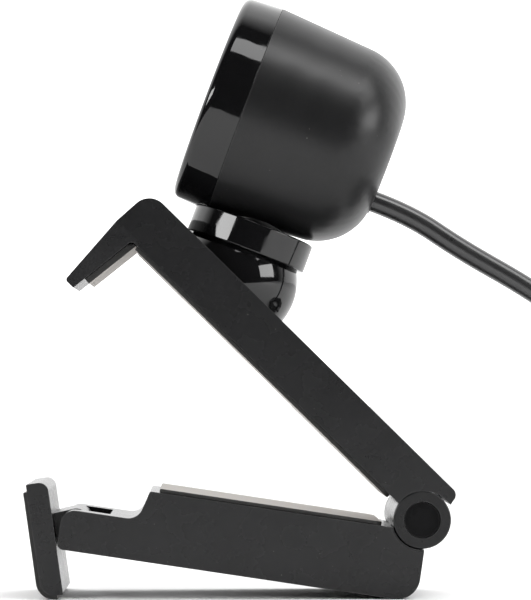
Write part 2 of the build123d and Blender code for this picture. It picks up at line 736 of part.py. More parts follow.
SPIGOT_R = HEAD_R - HEAD_WALL - 0.55
SPIGOT = 4.0                 # depth of the bezel's spigot in the rear housing
SPIGOT_WALL = 1.5
LEDGE_BACK = 14.6
LEDGE_FRONT = 16.0
WINDOW_FRONT = 17.3
WINDOW_R = 18.6
BOARD_BACK = 4.0
BOARD_FRONT = 5.2
BOARD_R = 16.6
GROOVE = 0.05                # parting line
LENS_RING_R = 6.8
BORE_R = 8.6                 # opening of the bezel round the lens ring
POST_ORBIT = 14.2            # three posts that carry the board
POSTS = [(POST_ORBIT * cos(radians(angle)), POST_ORBIT * sin(radians(angle))) for angle in (90, 210, 330)]
BEZEL_POST_R = 2.1
BOARD_SCREW_R = 0.8
LIGHT = (0, 10.6)            # status light, above the lens
LIGHT_R = 1.0
LIGHT_TIP_R = 0.9
MICROPHONES = [(-12.5, 0), (12.5, 0)]
MICROPHONE_HOLE_R = 0.5
MICROPHONE_BORE_R = 0.8


front_r = HEAD_R - (FRONT - SEAM) * tan(radians(FRONT_TAPER))
bezel_section = rounded_face([
    (SEAM - SPIGOT, SPIGOT_R, 0),
    (SEAM + GROOVE, SPIGOT_R, 0),
    (SEAM + GROOVE, HEAD_R, 0.1),
    (FRONT, front_r, 1.7),
    (FRONT, WINDOW_R, 0.3),
    (LEDGE_FRONT, WINDOW_R, 0),
    (LEDGE_FRONT, BORE_R, 0),
    (LEDGE_BACK, BORE_R, 0),
    (LEDGE_BACK, SPIGOT_R - SPIGOT_WALL, 0),
    (SEAM - SPIGOT, SPIGOT_R - SPIGOT_WALL, 0),
])

with BuildPart() as front_bezel:
    with BuildSketch(LENS_SIDE):
        add(bezel_section)
    revolve(axis=LENS_AXIS)
    with BuildSketch(lens_plane(BOARD_FRONT)):
        with Locations(*POSTS):
            Circle(BEZEL_POST_R)
            Circle(BOARD_SCREW_R, mode=Mode.SUBTRACT)
    extrude(amount=LEDGE_BACK - BOARD_FRONT)
    # light pipe and the two microphone passages
    with BuildSketch(lens_plane(LEDGE_BACK)):
        with Locations(LIGHT):
            Circle(LIGHT_R)
        with Locations(*MICROPHONES):
            Circle(MICROPHONE_BORE_R)
    extrude(amount=LEDGE_FRONT - LEDGE_BACK, mode=Mode.SUBTRACT)
    with BuildSketch(stem_plane(BOSS_LOW)):
        Circle(DISC_ROOM)
    extrude(amount=-FLOOR_HIGH, mode=Mode.SUBTRACT)
finish(front_bezel, "front_bezel")

with BuildPart() as front_window:
    with BuildSketch(lens_plane(LEDGE_FRONT)):
        Circle(WINDOW_R - CONTACT)
        Circle(LENS_RING_R + PLAY, mode=Mode.SUBTRACT)
        with Locations(LIGHT):
            Circle(LIGHT_TIP_R, mode=Mode.SUBTRACT)
        with Locations(*MICROPHONES):
            Circle(MICROPHONE_HOLE_R, mode=Mode.SUBTRACT)
    extrude(amount=WINDOW_FRONT - LEDGE_FRONT)
finish(front_window, "front_window")

with BuildPart() as light_pipe:
    with BuildSketch(lens_plane(BOARD_FRONT + 1.0)):
        with Locations(LIGHT):
            Circle(LIGHT_R)
    extrude(amount=LEDGE_FRONT - BOARD_FRONT - 1.0)
    with BuildSketch(lens_plane(LEDGE_FRONT)):
        with Locations(LIGHT):
            Circle(LIGHT_TIP_R)
    extrude(amount=WINDOW_FRONT - LEDGE_FRONT)
finish(light_pipe, "light_pipe")

with BuildPart() as status_led:
    with BuildSketch(lens_plane(BOARD_FRONT)):
        with Locations(LIGHT):
            Rectangle(1.6, 1.2)
    extrude(amount=0.7)
finish(status_led, "status_led")

with BuildPart() as microphones:
    with BuildSketch(lens_plane(BOARD_FRONT)):
        with Locations(*MICROPHONES):
            Rectangle(3.4, 3.4)
    extrude(amount=1.4)
finish(microphones, "microphones")

ring_section = rounded_face([
    (LEDGE_BACK - 1.0, 5.3, 0),
    (LEDGE_BACK - 1.0, LENS_RING_R, 0),
    (17.5, LENS_RING_R, 0.3),
    (17.5, 6.2, 0.2),
    (16.3, 4.7, 0),
    (16.3, 5.3, 0),
])

with BuildPart() as lens_ring:
    with BuildSketch(LENS_SIDE):
        add(ring_section)
    revolve(axis=LENS_AXIS)
finish(lens_ring, "lens_ring")

THREAD_R = 4.4               # lens barrel in its holder
INNER_LENS_R = 2.6
FRONT_LENS_R = 4.2
FRONT_LENS_BACK = 14.4
HOLDER_LENGTH = 7.2

lens_barrel_section = rounded_face([
    (7.4, INNER_LENS_R, 0),
    (7.4, THREAD_R, 0),
    (12.6, THREAD_R, 0),
    (12.6, 5.2, 0),
    (16.2, 5.2, 0.2),
    (16.2, FRONT_LENS_R, 0),
    (FRONT_LENS_BACK, FRONT_LENS_R, 0),
    (FRONT_LENS_BACK, INNER_LENS_R, 0),
])

with BuildPart() as lens_barrel:
    with BuildSketch(LENS_SIDE):
        add(lens_barrel_section)
    revolve(axis=LENS_AXIS)
finish(lens_barrel, "lens_barrel")


def lens_section(back, edge, apex, radius):
    """Half section of a plano-convex lens, its round face centred on the lens axis."""
    rise = apex - edge
    sphere_r = (radius ** 2 + rise ** 2) / (2 * rise)
    with BuildSketch(Plane.XY) as shape:
        with BuildLine():
            Polyline((apex, 0), (back, 0), (back, radius), (edge, radius))
            CenterArc((apex - sphere_r, 0), sphere_r, 0, degrees(asin(radius / sphere_r)))
        make_face()
    return shape.sketch


front_lens_section = lens_section(FRONT_LENS_BACK, FRONT_LENS_BACK + 0.9, FRONT_LENS_BACK + 2.0, FRONT_LENS_R)
inner_lens_sections = [lens_section(back, back + 0.9, back + 1.5, INNER_LENS_R) for back in (8.2, 11.2)]

with BuildPart() as front_lens:
    with BuildSketch(LENS_SIDE):
        add(front_lens_section)
    revolve(axis=LENS_AXIS)
finish(front_lens, "front_lens")

with BuildPart() as inner_lenses:
    for section in inner_lens_sections:
        with BuildSketch(LENS_SIDE):
            add(section)
        revolve(axis=LENS_AXIS)
finish(inner_lenses, "inner_lenses")

with BuildPart() as lens_holder:
    with BuildSketch(lens_plane(BOARD_FRONT)):
        RectangleRounded(13.0, 13.0, 1.0)
    extrude(amount=3.4)
    with BuildSketch(lens_plane(BOARD_FRONT)):
        Circle(5.8)
    extrude(amount=HOLDER_LENGTH)
    with BuildSketch(lens_plane(BOARD_FRONT)):
        Rectangle(9.0, 9.0)
    extrude(amount=2.0, mode=Mode.SUBTRACT)
    with BuildSketch(lens_plane(BOARD_FRONT)):
        Circle(THREAD_R)
    extrude(amount=HOLDER_LENGTH, mode=Mode.SUBTRACT)
finish(lens_holder, "lens_holder")

with BuildPart() as infrared_filter:
    with BuildSketch(lens_plane(BOARD_FRONT + 1.3)):
        Rectangle(5.0, 5.0)
    extrude(amount=0.4)
finish(infrared_filter, "infrared_filter")

with BuildPart() as image_sensor:
    with BuildSketch(lens_plane(BOARD_FRONT)):
        Rectangle(6.6, 6.6)
    extrude(amount=1.2)
finish(image_sensor, "image_sensor")

with BuildPart() as camera_board:
    with BuildSketch(lens_plane(BOARD_BACK)):
        Circle(BOARD_R)
        with Locations(*POSTS):
            Circle(BOARD_SCREW_R, mode=Mode.SUBTRACT)
    extrude(amount=BOARD_FRONT - BOARD_BACK)
finish(camera_board, "camera_board")

with BuildPart() as board_screws:
    with BuildSketch(lens_plane(BOARD_BACK)):
        with Locations(*POSTS):
            Circle(2 * BOARD_SCREW_R)
    extrude(amount=-1.0)
    with BuildSketch(lens_plane(BOARD_BACK)):
        with Locations(*POSTS):
            Circle(BOARD_SCREW_R)
    extrude(amount=6.0)
finish(board_screws, "board_screws")

CONNECTOR_BACK = 0.4

with BuildPart() as board_connector:
    with BuildSketch(lens_plane(BOARD_BACK)):
        with Locations((0, EXIT_DROP)):
            Rectangle(8.0, 4.2)
    extrude(amount=-(BOARD_BACK - CONNECTOR_BACK))
finish(board_connector, "board_connector")

GLAND_FLANGE = 1.2
GLAND_INNER = REAR + HEAD_WALL + 2.6

with BuildPart() as cord_gland:
    with BuildSketch(lens_plane(REAR)):
        with Locations((0, EXIT_DROP)):
            Circle(GLAND_R)
    extrude(amount=GLAND_INNER - REAR)
    with BuildSketch(lens_plane(REAR + HEAD_WALL + 1.0)):
        with Locations((0, EXIT_DROP)):
            Circle(4.0)
    extrude(amount=GLAND_FLANGE)
finish(cord_gland, "cord_gland")

with BuildPart() as inner_cable:
    with BuildSketch(lens_plane(GLAND_INNER)):
        with Locations((0, EXIT_DROP)):
            Circle(1.7)
    extrude(amount=CONNECTOR_BACK - GLAND_INNER)
finish(inner_cable, "inner_cable")

# ---------- cord ----------
EXIT_POINT = place(HEAD, REAR, EXIT_U)
COIL_X = 105.0
COIL_Y = 6.0
COIL_MEAN = 25.6             # radius at the middle of the turns
COLUMNS = 4
LAYERS = 2
COIL_BASE = 0.5              # the tie runs under the turns
CORD_D = 2 * CORD_R
COIL_OUT = COIL_MEAN + COLUMNS * CORD_R
COIL_IN = COIL_MEAN - COLUMNS * CORD_R
COIL_HIGH = COIL_BASE + LAYERS * CORD_D
OUTER_TURN = COIL_OUT - CORD_R
FLOOR_Z = COIL_BASE + CORD_R
COIL_ROUND = 0.9 * CORD_R

CORD_ROUTE = [
    (EXIT_POINT.X, 0, EXIT_POINT.Z),
    (35.2, 0, 77.7),
    (45.6, 0, 70.6),
    (59.5, 0, 62.8),
    (71.0, -1.0, 54.6),
    (76.0, -4.0, 40.6),
    (78.8, -8.6, 26.6),
    (83.0, -14.4, 15.6),
    (89.6, -20.0, 7.9),
    (97.4, -24.4, 3.8),
    (COIL_X, COIL_Y - OUTER_TURN, FLOOR_Z),
]


def corner_radii(points):
    """Radius of each corner: as large as its two runs allow."""
    radii = []
    for before, here, after in zip(points, points[1:], points[2:]):
        back = Vector(*here) - Vector(*before)
        ahead = Vector(*after) - Vector(*here)
        turn = radians(back.get_angle(ahead))
        radii.append(0.45 * min(back.length, ahead.length) / tan(turn / 2))
    return radii


def show_route(name, points, radii, length, volume):
    """Print the radii and compare the tube's volume with section times length."""
    runs = [(Vector(*b) - Vector(*a)).length for a, b in zip(points, points[1:])]
    print(name, "runs", [round(run, 1) for run in runs], "radii", [round(r, 1) for r in radii])
    print(name, "length", round(length, 1), "volume ratio", round(volume / (pi * CORD_R ** 2 * length), 4))


cord_radii = corner_radii(CORD_ROUTE)

with BuildPart() as cord_tube:
    with BuildLine() as cord_line:
        FilletPolyline(*CORD_ROUTE, radius=cord_radii)
    with BuildSketch(Plane(origin=cord_line.line @ 0, z_dir=cord_line.line % 0)):
        Circle(CORD_R)
    sweep()
finish(cord_tube, "cord_tube")
cord_length = sum(edge.length for edge in cord_line.edges())
show_route("cord", CORD_ROUTE, cord_radii, cord_length, cord_tube.part.volume)

with BuildPart() as cord_coil:
    with BuildSketch(Plane.XY.offset(COIL_BASE)):
        with Locations((COIL_X, COIL_Y)):
            Circle(COIL_OUT)
            Circle(COIL_IN, mode=Mode.SUBTRACT)
    extrude(amount=COIL_HIGH - COIL_BASE)
    fillet(cord_coil.edges().filter_by(GeomType.CIRCLE), COIL_ROUND)
finish(cord_coil, "cord_coil")

# the tail leaves the top outer turn, bends inwards and climbs onto the coil
PLUG_LOW = COIL_HIGH + 0.15
PLUG_HIGH = 7.6
PLUG_Z = PLUG_LOW + PLUG_HIGH / 2
PLUG_Y = COIL_Y + 22.0
PLUG_X = COIL_X + 3.0
TAIL_ROUTE = [
    (COIL_X + 32.0, COIL_Y + 2.0, COIL_HIGH - 0.8),
    (COIL_X + 28.8, COIL_Y + 11.8, COIL_HIGH + 1.2),
    (COIL_X + 20.5, COIL_Y + 19.4, COIL_HIGH + 3.2),
    (COIL_X + 11.0, PLUG_Y, PLUG_Z),
    (PLUG_X, PLUG_Y, PLUG_Z),
]
tail_radii = corner_radii(TAIL_ROUTE)

with BuildPart() as cord_tail:
    with BuildLine() as tail_line:
        FilletPolyline(*TAIL_ROUTE, radius=tail_radii)
    with BuildSketch(Plane(origin=tail_line.line @ 0, z_dir=tail_line.line % 0)):
        Circle(CORD_R)
    sweep()
finish(cord_tail, "cord_tail")
tail_length = sum(edge.length for edge in tail_line.edges())
show_route("tail", TAIL_ROUTE, tail_radii, tail_length, cord_tail.part.volume)

TIE_ANGLE = 190.0
TIE_ARC = 20.0
TIE = 0.45

with BuildPart() as coil_tie:
    tie_plane = Plane(
        origin=(COIL_X, COIL_Y, (COIL_BASE + COIL_HIGH) / 2),
        x_dir=(cos(radians(TIE_ANGLE)), sin(radians(TIE_ANGLE)), 0),
        z_dir=(sin(radians(TIE_ANGLE)), -cos(radians(TIE_ANGLE)), 0),
    )
    with BuildSketch(tie_plane):
        with Locations((COIL_MEAN, 0)):
            RectangleRounded(COIL_OUT - COIL_IN + 2 * TIE, COIL_HIGH - COIL_BASE + 2 * TIE, CORD_R)
            RectangleRounded(COIL_OUT - COIL_IN, COIL_HIGH - COIL_BASE, COIL_ROUND, mode=Mode.SUBTRACT)
    revolve(axis=Axis((COIL_X, COIL_Y, 0), (0, 0, 1)), revolution_arc=TIE_ARC)
finish(coil_tie, "coil_tie")

# ---------- plug ----------
PLUG_LENGTH = 24.0
PLUG_WIDTH = 15.2
SHELL_WIDTH = 12.0
SHELL_HIGH = 4.5
SHELL_LENGTH = 12.0
SHELL_WALL = 0.3
PLUG_NECK = 5.0              # tapered end of the overmould, at the lead
PLUG_FACE = Plane(origin=(PLUG_X, PLUG_Y, PLUG_Z), x_dir=(0, 1, 0), z_dir=(-1, 0, 0))

with BuildPart() as usb_overmould:
    with BuildSketch(PLUG_FACE.offset(PLUG_NECK)):
        RectangleRounded(PLUG_WIDTH, PLUG_HIGH, 1.8)
    extrude(amount=PLUG_LENGTH - PLUG_NECK)
    with BuildSketch(PLUG_FACE):
        Circle(CORD_R + 0.8)
    with BuildSketch(PLUG_FACE.offset(PLUG_NECK)):
        RectangleRounded(10.0, 6.4, 1.8)
    loft()
    fillet(usb_overmould.faces().sort_by(Axis.X)[0].edges(), 0.5)
finish(usb_overmould, "usb_overmould")

with BuildPart() as usb_shell:
    with BuildSketch(PLUG_FACE.offset(PLUG_LENGTH)):
        RectangleRounded(SHELL_WIDTH, SHELL_HIGH, 0.4)
        Rectangle(SHELL_WIDTH - 2 * SHELL_WALL, SHELL_HIGH - 2 * SHELL_WALL, mode=Mode.SUBTRACT)
    extrude(amount=SHELL_LENGTH)
    # the two latch windows in each broad side
    with BuildSketch(Plane.XY.offset(PLUG_Z - SHELL_HIGH)):
        with Locations((PLUG_X - PLUG_LENGTH - 6.0, PLUG_Y)):
            with GridLocations(1.0, 4.8, 1, 2):
                Rectangle(2.2, 2.3)
    extrude(amount=2 * SHELL_HIGH, mode=Mode.SUBTRACT)
finish(usb_shell, "usb_shell")

with BuildPart() as usb_tongue:
    with BuildSketch(PLUG_FACE.offset(PLUG_LENGTH)):
        with Locations((0, 1.0)):
            Rectangle(SHELL_WIDTH - 2 * SHELL_WALL, 1.9)
    extrude(amount=SHELL_LENGTH - 1.0)
finish(usb_tongue, "usb_tongue")

with BuildPart() as usb_contacts:
    with BuildSketch(PLUG_FACE.offset(PLUG_LENGTH + 1.0)):
        with Locations((-3.5, -0.05), (-1.0, -0.05), (1.0, -0.05), (3.5, -0.05)):
            Rectangle(1.0, 0.2)
    extrude(amount=SHELL_LENGTH - 3.0)
finish(usb_contacts, "usb_contacts")
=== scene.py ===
"""Looks of a webcam on a folding monitor clip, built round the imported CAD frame. Units: metres."""
import json
from math import cos, pi, radians, sin

import bpy
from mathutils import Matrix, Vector


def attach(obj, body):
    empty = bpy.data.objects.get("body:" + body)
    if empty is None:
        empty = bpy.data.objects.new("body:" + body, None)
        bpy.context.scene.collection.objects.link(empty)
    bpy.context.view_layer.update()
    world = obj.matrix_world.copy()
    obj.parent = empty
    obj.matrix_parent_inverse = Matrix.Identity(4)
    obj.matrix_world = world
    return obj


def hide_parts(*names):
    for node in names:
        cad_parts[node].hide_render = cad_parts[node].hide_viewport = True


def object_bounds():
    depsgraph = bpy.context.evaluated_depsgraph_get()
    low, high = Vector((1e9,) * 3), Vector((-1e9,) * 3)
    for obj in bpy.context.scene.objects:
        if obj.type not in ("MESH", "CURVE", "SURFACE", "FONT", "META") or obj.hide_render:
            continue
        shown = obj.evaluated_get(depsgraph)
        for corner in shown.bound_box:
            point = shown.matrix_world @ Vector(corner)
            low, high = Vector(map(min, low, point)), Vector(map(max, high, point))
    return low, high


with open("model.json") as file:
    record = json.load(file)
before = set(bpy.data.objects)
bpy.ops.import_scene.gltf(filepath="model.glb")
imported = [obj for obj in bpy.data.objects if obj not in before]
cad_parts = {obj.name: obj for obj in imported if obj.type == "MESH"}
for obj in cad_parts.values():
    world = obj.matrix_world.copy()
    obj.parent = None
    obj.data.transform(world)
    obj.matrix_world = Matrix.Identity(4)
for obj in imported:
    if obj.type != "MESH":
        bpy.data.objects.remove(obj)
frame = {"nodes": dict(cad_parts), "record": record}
cad_low, cad_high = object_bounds()
nodes = frame["nodes"]
slot_of = {part["node"]: part["material_slot"] for part in frame["record"]["subparts"]}
scene = bpy.context.scene
scene.view_settings.view_transform = "Standard"
MM = 0.001
DUST = (0.32, 0.31, 0.29)
GLOSS_DUST = (0.3, 0.3, 0.28)
GLOSS_RUBBED = (0.06, 0.06, 0.06)
METAL_RUBBED = (0.85, 0.85, 0.85)
WARM_SHEEN = (1.0, 0.94, 0.88, 1)
COAT_ROUGH = 0.2
SHEEN_ROUGH = 0.35
# Specular level on the cap's recess floor, lowered as painted shade in the recess
PAINTED_SHADE_SHINE = 0.06
DRAWN_LINES = 0.12 * MM
RIB_SCALE = 330
TRACK_SCALE = 260


# ---------- material tools ----------
def shader(name):
    """A new node material with its tree and its Principled shader."""
    material = bpy.data.materials.new(name)
    material.use_nodes = True
    tree = material.node_tree
    return material, tree, tree.nodes["Principled BSDF"]


def plug_in(tree, socket, value):
    """Sets a socket to a number or colour, or links another socket to it."""
    if isinstance(value, bpy.types.NodeSocket):
        tree.links.new(value, socket)
    elif isinstance(value, tuple) and len(value) == 3 and socket.type == "RGBA":
        socket.default_value = (*value, 1)
    else:
        socket.default_value = value


def place(tree, stretch=(1, 1, 1), turn=(0, 0, 0)):
    """Coordinates on the piece, in metres, stretched and turned."""
    where = tree.nodes.new("ShaderNodeTexCoord")
    mapping = tree.nodes.new("ShaderNodeMapping")
    mapping.inputs["Scale"].default_value = stretch
    mapping.inputs["Rotation"].default_value = turn
    tree.links.new(where.outputs["Object"], mapping.inputs["Vector"])
    return mapping.outputs["Vector"]


def noise(tree, where, size, detail=2.0):
    """Soft random value, about 0.3 to 0.7, its bumps about a size apart."""
    node = tree.nodes.new("ShaderNodeTexNoise")
    tree.links.new(where, node.inputs["Vector"])
    node.inputs["Scale"].default_value = 1 / size
    node.inputs["Detail"].default_value = detail
    return node.outputs["Fac"]


def spread(tree, value, low, high, start=0.3, end=0.7):
    """Maps start to end onto low to high, held at both ends."""
    node = tree.nodes.new("ShaderNodeMapRange")
    tree.links.new(value, node.inputs["Value"])
    for key, number in (("From Min", start), ("From Max", end), ("To Min", low), ("To Max", high)):
        node.inputs[key].default_value = number
    return node.outputs["Result"]


def combine(tree, operation, first, second):
    """Result of a maths operation on two sockets or numbers."""
    node = tree.nodes.new("ShaderNodeMath")
    node.operation = operation
    plug_in(tree, node.inputs[0], first)
    plug_in(tree, node.inputs[1], second)
    return node.outputs[0]


def tint(tree, amount, first, second):
    """Colour that goes from the first to the second with the amount."""
    node = tree.nodes.new("ShaderNodeMixRGB")
    plug_in(tree, node.inputs["Fac"], amount)
    plug_in(tree, node.inputs["Color1"], first)
    plug_in(tree, node.inputs["Color2"], second)
    return node.outputs["Color"]


def edges(tree, width):
    """1 along the convex and concave edges, 0 on open faces."""
    rounded = tree.nodes.new("ShaderNodeBevel")
    rounded.samples = 4
    rounded.inputs["Radius"].default_value = width
    flat = tree.nodes.new("ShaderNodeNewGeometry")
    turn = tree.nodes.new("ShaderNodeVectorMath")
    turn.operation = "DOT_PRODUCT"
    tree.links.new(rounded.outputs["Normal"], turn.inputs[0])
    tree.links.new(flat.outputs["Normal"], turn.inputs[1])
    return spread(tree, turn.outputs["Value"], 1, 0, 0.80, 0.99)


def specks(tree, where, spacing, size):
    """Sparse small dots, as settled dust: 1 in a dot, 0 outside."""
    node = tree.nodes.new("ShaderNodeTexVoronoi")
    tree.links.new(where, node.inputs["Vector"])
    node.inputs["Scale"].default_value = 1 / spacing
    dots = spread(tree, node.outputs["Distance"], 1, 0, 0.5 * size / spacing, size / spacing)
    patches = spread(tree, noise(tree, where, 9 * spacing), 0, 1, 0.52, 0.60)
    return combine(tree, "MULTIPLY", dots, patches)


def bump(tree, bsdf, height, depth):
    """Relief of a depth in metres on a shader, over any relief that it has."""
    node = tree.nodes.new("ShaderNodeBump")
    node.inputs["Distance"].default_value = depth
    tree.links.new(height, node.inputs["Height"])
    earlier = bsdf.inputs["Normal"].links
    if earlier:
        tree.links.new(earlier[0].from_socket, node.inputs["Normal"])
    tree.links.new(node.outputs["Normal"], bsdf.inputs["Normal"])


def scaled(colour, factor):
    """The colour, darker or lighter by a factor."""
    return tuple(channel * factor for channel in colour)


def moulded(name, colour, rough, grain=0.35 * MM, depth=0.006 * MM, dust=0.35, wear=0.5, coat=0.0,
            sheen=0.0, shine=0.5, patchy=1.0, painted_shade_recess=(), worn=(0.10, 0.10, 0.10)):
    """Moulded plastic or rubber: clouded colour, fine grain, rubbed edges and a little dust.

    A face between the two given distances from the middle plane has a lower specular level, which is
    painted shade in a recess.
    """
    material, tree, bsdf = shader(name)
    where = place(tree)
    cloud = noise(tree, where, 11 * MM, 3)
    fine = noise(tree, where, 0.9 * MM, 3)
    shade = tint(tree, spread(tree, cloud, 0, 1), scaled(colour, 0.82), scaled(colour, 1.18))
    shade = tint(tree, spread(tree, fine, 0, 0.35), shade, scaled(colour, 1.5))
    rub = spread(tree, noise(tree, where, 3 * MM), 0.3, wear)
    rubbed = combine(tree, "MULTIPLY", edges(tree, 0.35 * MM), rub)
    shade = tint(tree, rubbed, shade, worn)
    if dust:
        grime = combine(tree, "MULTIPLY", specks(tree, where, 1.9 * MM, 0.13 * MM), dust)
        shade = tint(tree, grime, shade, DUST)
    plug_in(tree, bsdf.inputs["Base Color"], shade)
    uneven = spread(tree, noise(tree, where, 5 * MM, 4), rough - 0.04 * patchy, rough + 0.05 * patchy)
    smoothed = combine(tree, "MULTIPLY", rubbed, 0.1)
    plug_in(tree, bsdf.inputs["Roughness"], combine(tree, "SUBTRACT", uneven, smoothed))
    bump(tree, bsdf, noise(tree, where, grain, 2), depth)
    bsdf.inputs["Specular IOR Level"].default_value = shine
    # Painted shade: the specular level falls between the given distances, darkening the recess as shade
    # would
    if painted_shade_recess:
        position = tree.nodes.new("ShaderNodeTexCoord")
        axes = tree.nodes.new("ShaderNodeSeparateXYZ")
        tree.links.new(position.outputs["Object"], axes.inputs[0])
        outwards = combine(tree, "ABSOLUTE", axes.outputs["Y"], 0)
        plug_in(tree, bsdf.inputs["Specular IOR Level"], spread(tree, outwards, PAINTED_SHADE_SHINE, shine, *painted_shade_recess))
    bsdf.inputs["Coat Weight"].default_value = coat
    bsdf.inputs["Coat Roughness"].default_value = COAT_ROUGH
    bsdf.inputs["Sheen Weight"].default_value = sheen
    bsdf.inputs["Sheen Roughness"].default_value = SHEEN_ROUGH
    bsdf.inputs["Sheen Tint"].default_value = WARM_SHEEN
    return material


def polished(name, colour, rough=0.05):
    """Glossy moulded plastic with faint wipe marks, a slight waviness and a few dust specks."""
    material, tree, bsdf = shader(name)
    where = place(tree)
    cloud = noise(tree, where, 14 * MM, 2)
    shade = tint(tree, spread(tree, cloud, 0, 1), scaled(colour, 0.8), scaled(colour, 1.3))
    rub = spread(tree, noise(tree, where, 2 * MM), 0, 0.25)
    rubbed = combine(tree, "MULTIPLY", edges(tree, 0.2 * MM), rub)
    shade = tint(tree, rubbed, shade, GLOSS_RUBBED)
    grime = combine(tree, "MULTIPLY", specks(tree, where, 2.6 * MM, 0.12 * MM), 0.5)
    shade = tint(tree, grime, shade, GLOSS_DUST)
    plug_in(tree, bsdf.inputs["Base Color"], shade)
    wiped = noise(tree, place(tree, (1, 0.25, 1), (0.4, 0.2, 0.7)), 2.5 * MM, 5)
    smears = spread(tree, wiped, rough, rough + 0.07, 0.45, 0.75)
    dusty = combine(tree, "MULTIPLY", grime, 0.4)
    plug_in(tree, bsdf.inputs["Roughness"], combine(tree, "ADD", smears, dusty))
    bump(tree, bsdf, noise(tree, where, 6 * MM, 1), 0.012 * MM)
    return material


def turned(name, colour, rough, stretch=(1, 0.04, 1)):
    """Bare metal with fine drawn or turned lines, a clouded tone and brighter edges."""
    material, tree, bsdf = shader(name)
    drawn = noise(tree, place(tree, stretch), DRAWN_LINES, 3)
    cloud = noise(tree, place(tree), 2.5 * MM, 3)
    shade = tint(tree, spread(tree, cloud, 0, 1), scaled(colour, 0.78), scaled(colour, 1.1))
    rubbed = combine(tree, "MULTIPLY", edges(tree, 0.15 * MM), 0.5)
    shade = tint(tree, rubbed, shade, METAL_RUBBED)
    plug_in(tree, bsdf.inputs["Base Color"], shade)
    plug_in(tree, bsdf.inputs["Roughness"], spread(tree, drawn, rough - 0.06, rough + 0.1))
    bsdf.inputs["Metallic"].default_value = 1
    bump(tree, bsdf, drawn, 0.004 * MM)
    return material


def clear(name, colour, rough=0.02, coat_tint=(1, 1, 1)):
    """Clear plastic or ground glass with a faint uneven haze and a coating."""
    material, tree, bsdf = shader(name)
    where = place(tree)
    haze = noise(tree, where, 1.5 * MM, 3)
    shade = tint(tree, spread(tree, haze, 0, 1), colour, scaled(colour, 0.92))
    plug_in(tree, bsdf.inputs["Base Color"], shade)
    plug_in(tree, bsdf.inputs["Roughness"], spread(tree, haze, rough, rough + 0.03, 0.5, 0.8))
    bsdf.inputs["Transmission Weight"].default_value = 1
    bsdf.inputs["Coat Weight"].default_value = 0.5
    bsdf.inputs["Coat Roughness"].default_value = 0.02
    bsdf.inputs["Coat Tint"].default_value = (*coat_tint, 1)
    return material


def woven(name, colour):
    """Narrow woven tape: crossed ribs in the colour and the relief."""
    material, tree, bsdf = shader(name)
    where = place(tree)
    ribs = []
    for axis in ("X", "Z"):
        wave = tree.nodes.new("ShaderNodeTexWave")
        wave.bands_direction = axis
        wave.inputs["Scale"].default_value = RIB_SCALE
        wave.inputs["Distortion"].default_value = 0.6
        tree.links.new(where, wave.inputs["Vector"])
        ribs.append(wave.outputs["Fac"])
    weave = combine(tree, "MAXIMUM", ribs[0], ribs[1])
    fluff = noise(tree, where, 0.5 * MM, 4)
    shade = tint(tree, weave, scaled(colour, 0.5), scaled(colour, 1.4))
    shade = tint(tree, spread(tree, fluff, 0, 0.4), shade, scaled(colour, 2.5))
    plug_in(tree, bsdf.inputs["Base Color"], shade)
    plug_in(tree, bsdf.inputs["Roughness"], spread(tree, fluff, 0.7, 0.9))
    bsdf.inputs["Sheen Weight"].default_value = 0.4
    bump(tree, bsdf, weave, 0.12 * MM)
    return material


def printed_board(name):
    """Lacquered circuit board: copper tracks under the lacquer and small pale pads."""
    material, tree, bsdf = shader(name)
    where = place(tree)
    tracks = tree.nodes.new("ShaderNodeTexBrick")
    tree.links.new(where, tracks.inputs["Vector"])
    tracks.inputs["Scale"].default_value = TRACK_SCALE
    tracks.inputs["Mortar Size"].default_value = 0.06
    tracks.inputs["Color1"].default_value = (0.008, 0.10, 0.04, 1)
    tracks.inputs["Color2"].default_value = (0.010, 0.13, 0.05, 1)
    tracks.inputs["Mortar"].default_value = (0.03, 0.22, 0.09, 1)
    pads = specks(tree, where, 1.6 * MM, 0.35 * MM)
    plug_in(tree, bsdf.inputs["Base Color"], tint(tree, pads, tracks.outputs["Color"], (0.75, 0.74, 0.70)))
    plug_in(tree, bsdf.inputs["Roughness"], spread(tree, noise(tree, where, 2 * MM, 3), 0.22, 0.4))
    bump(tree, bsdf, tracks.outputs["Fac"], 0.02 * MM)
    return material


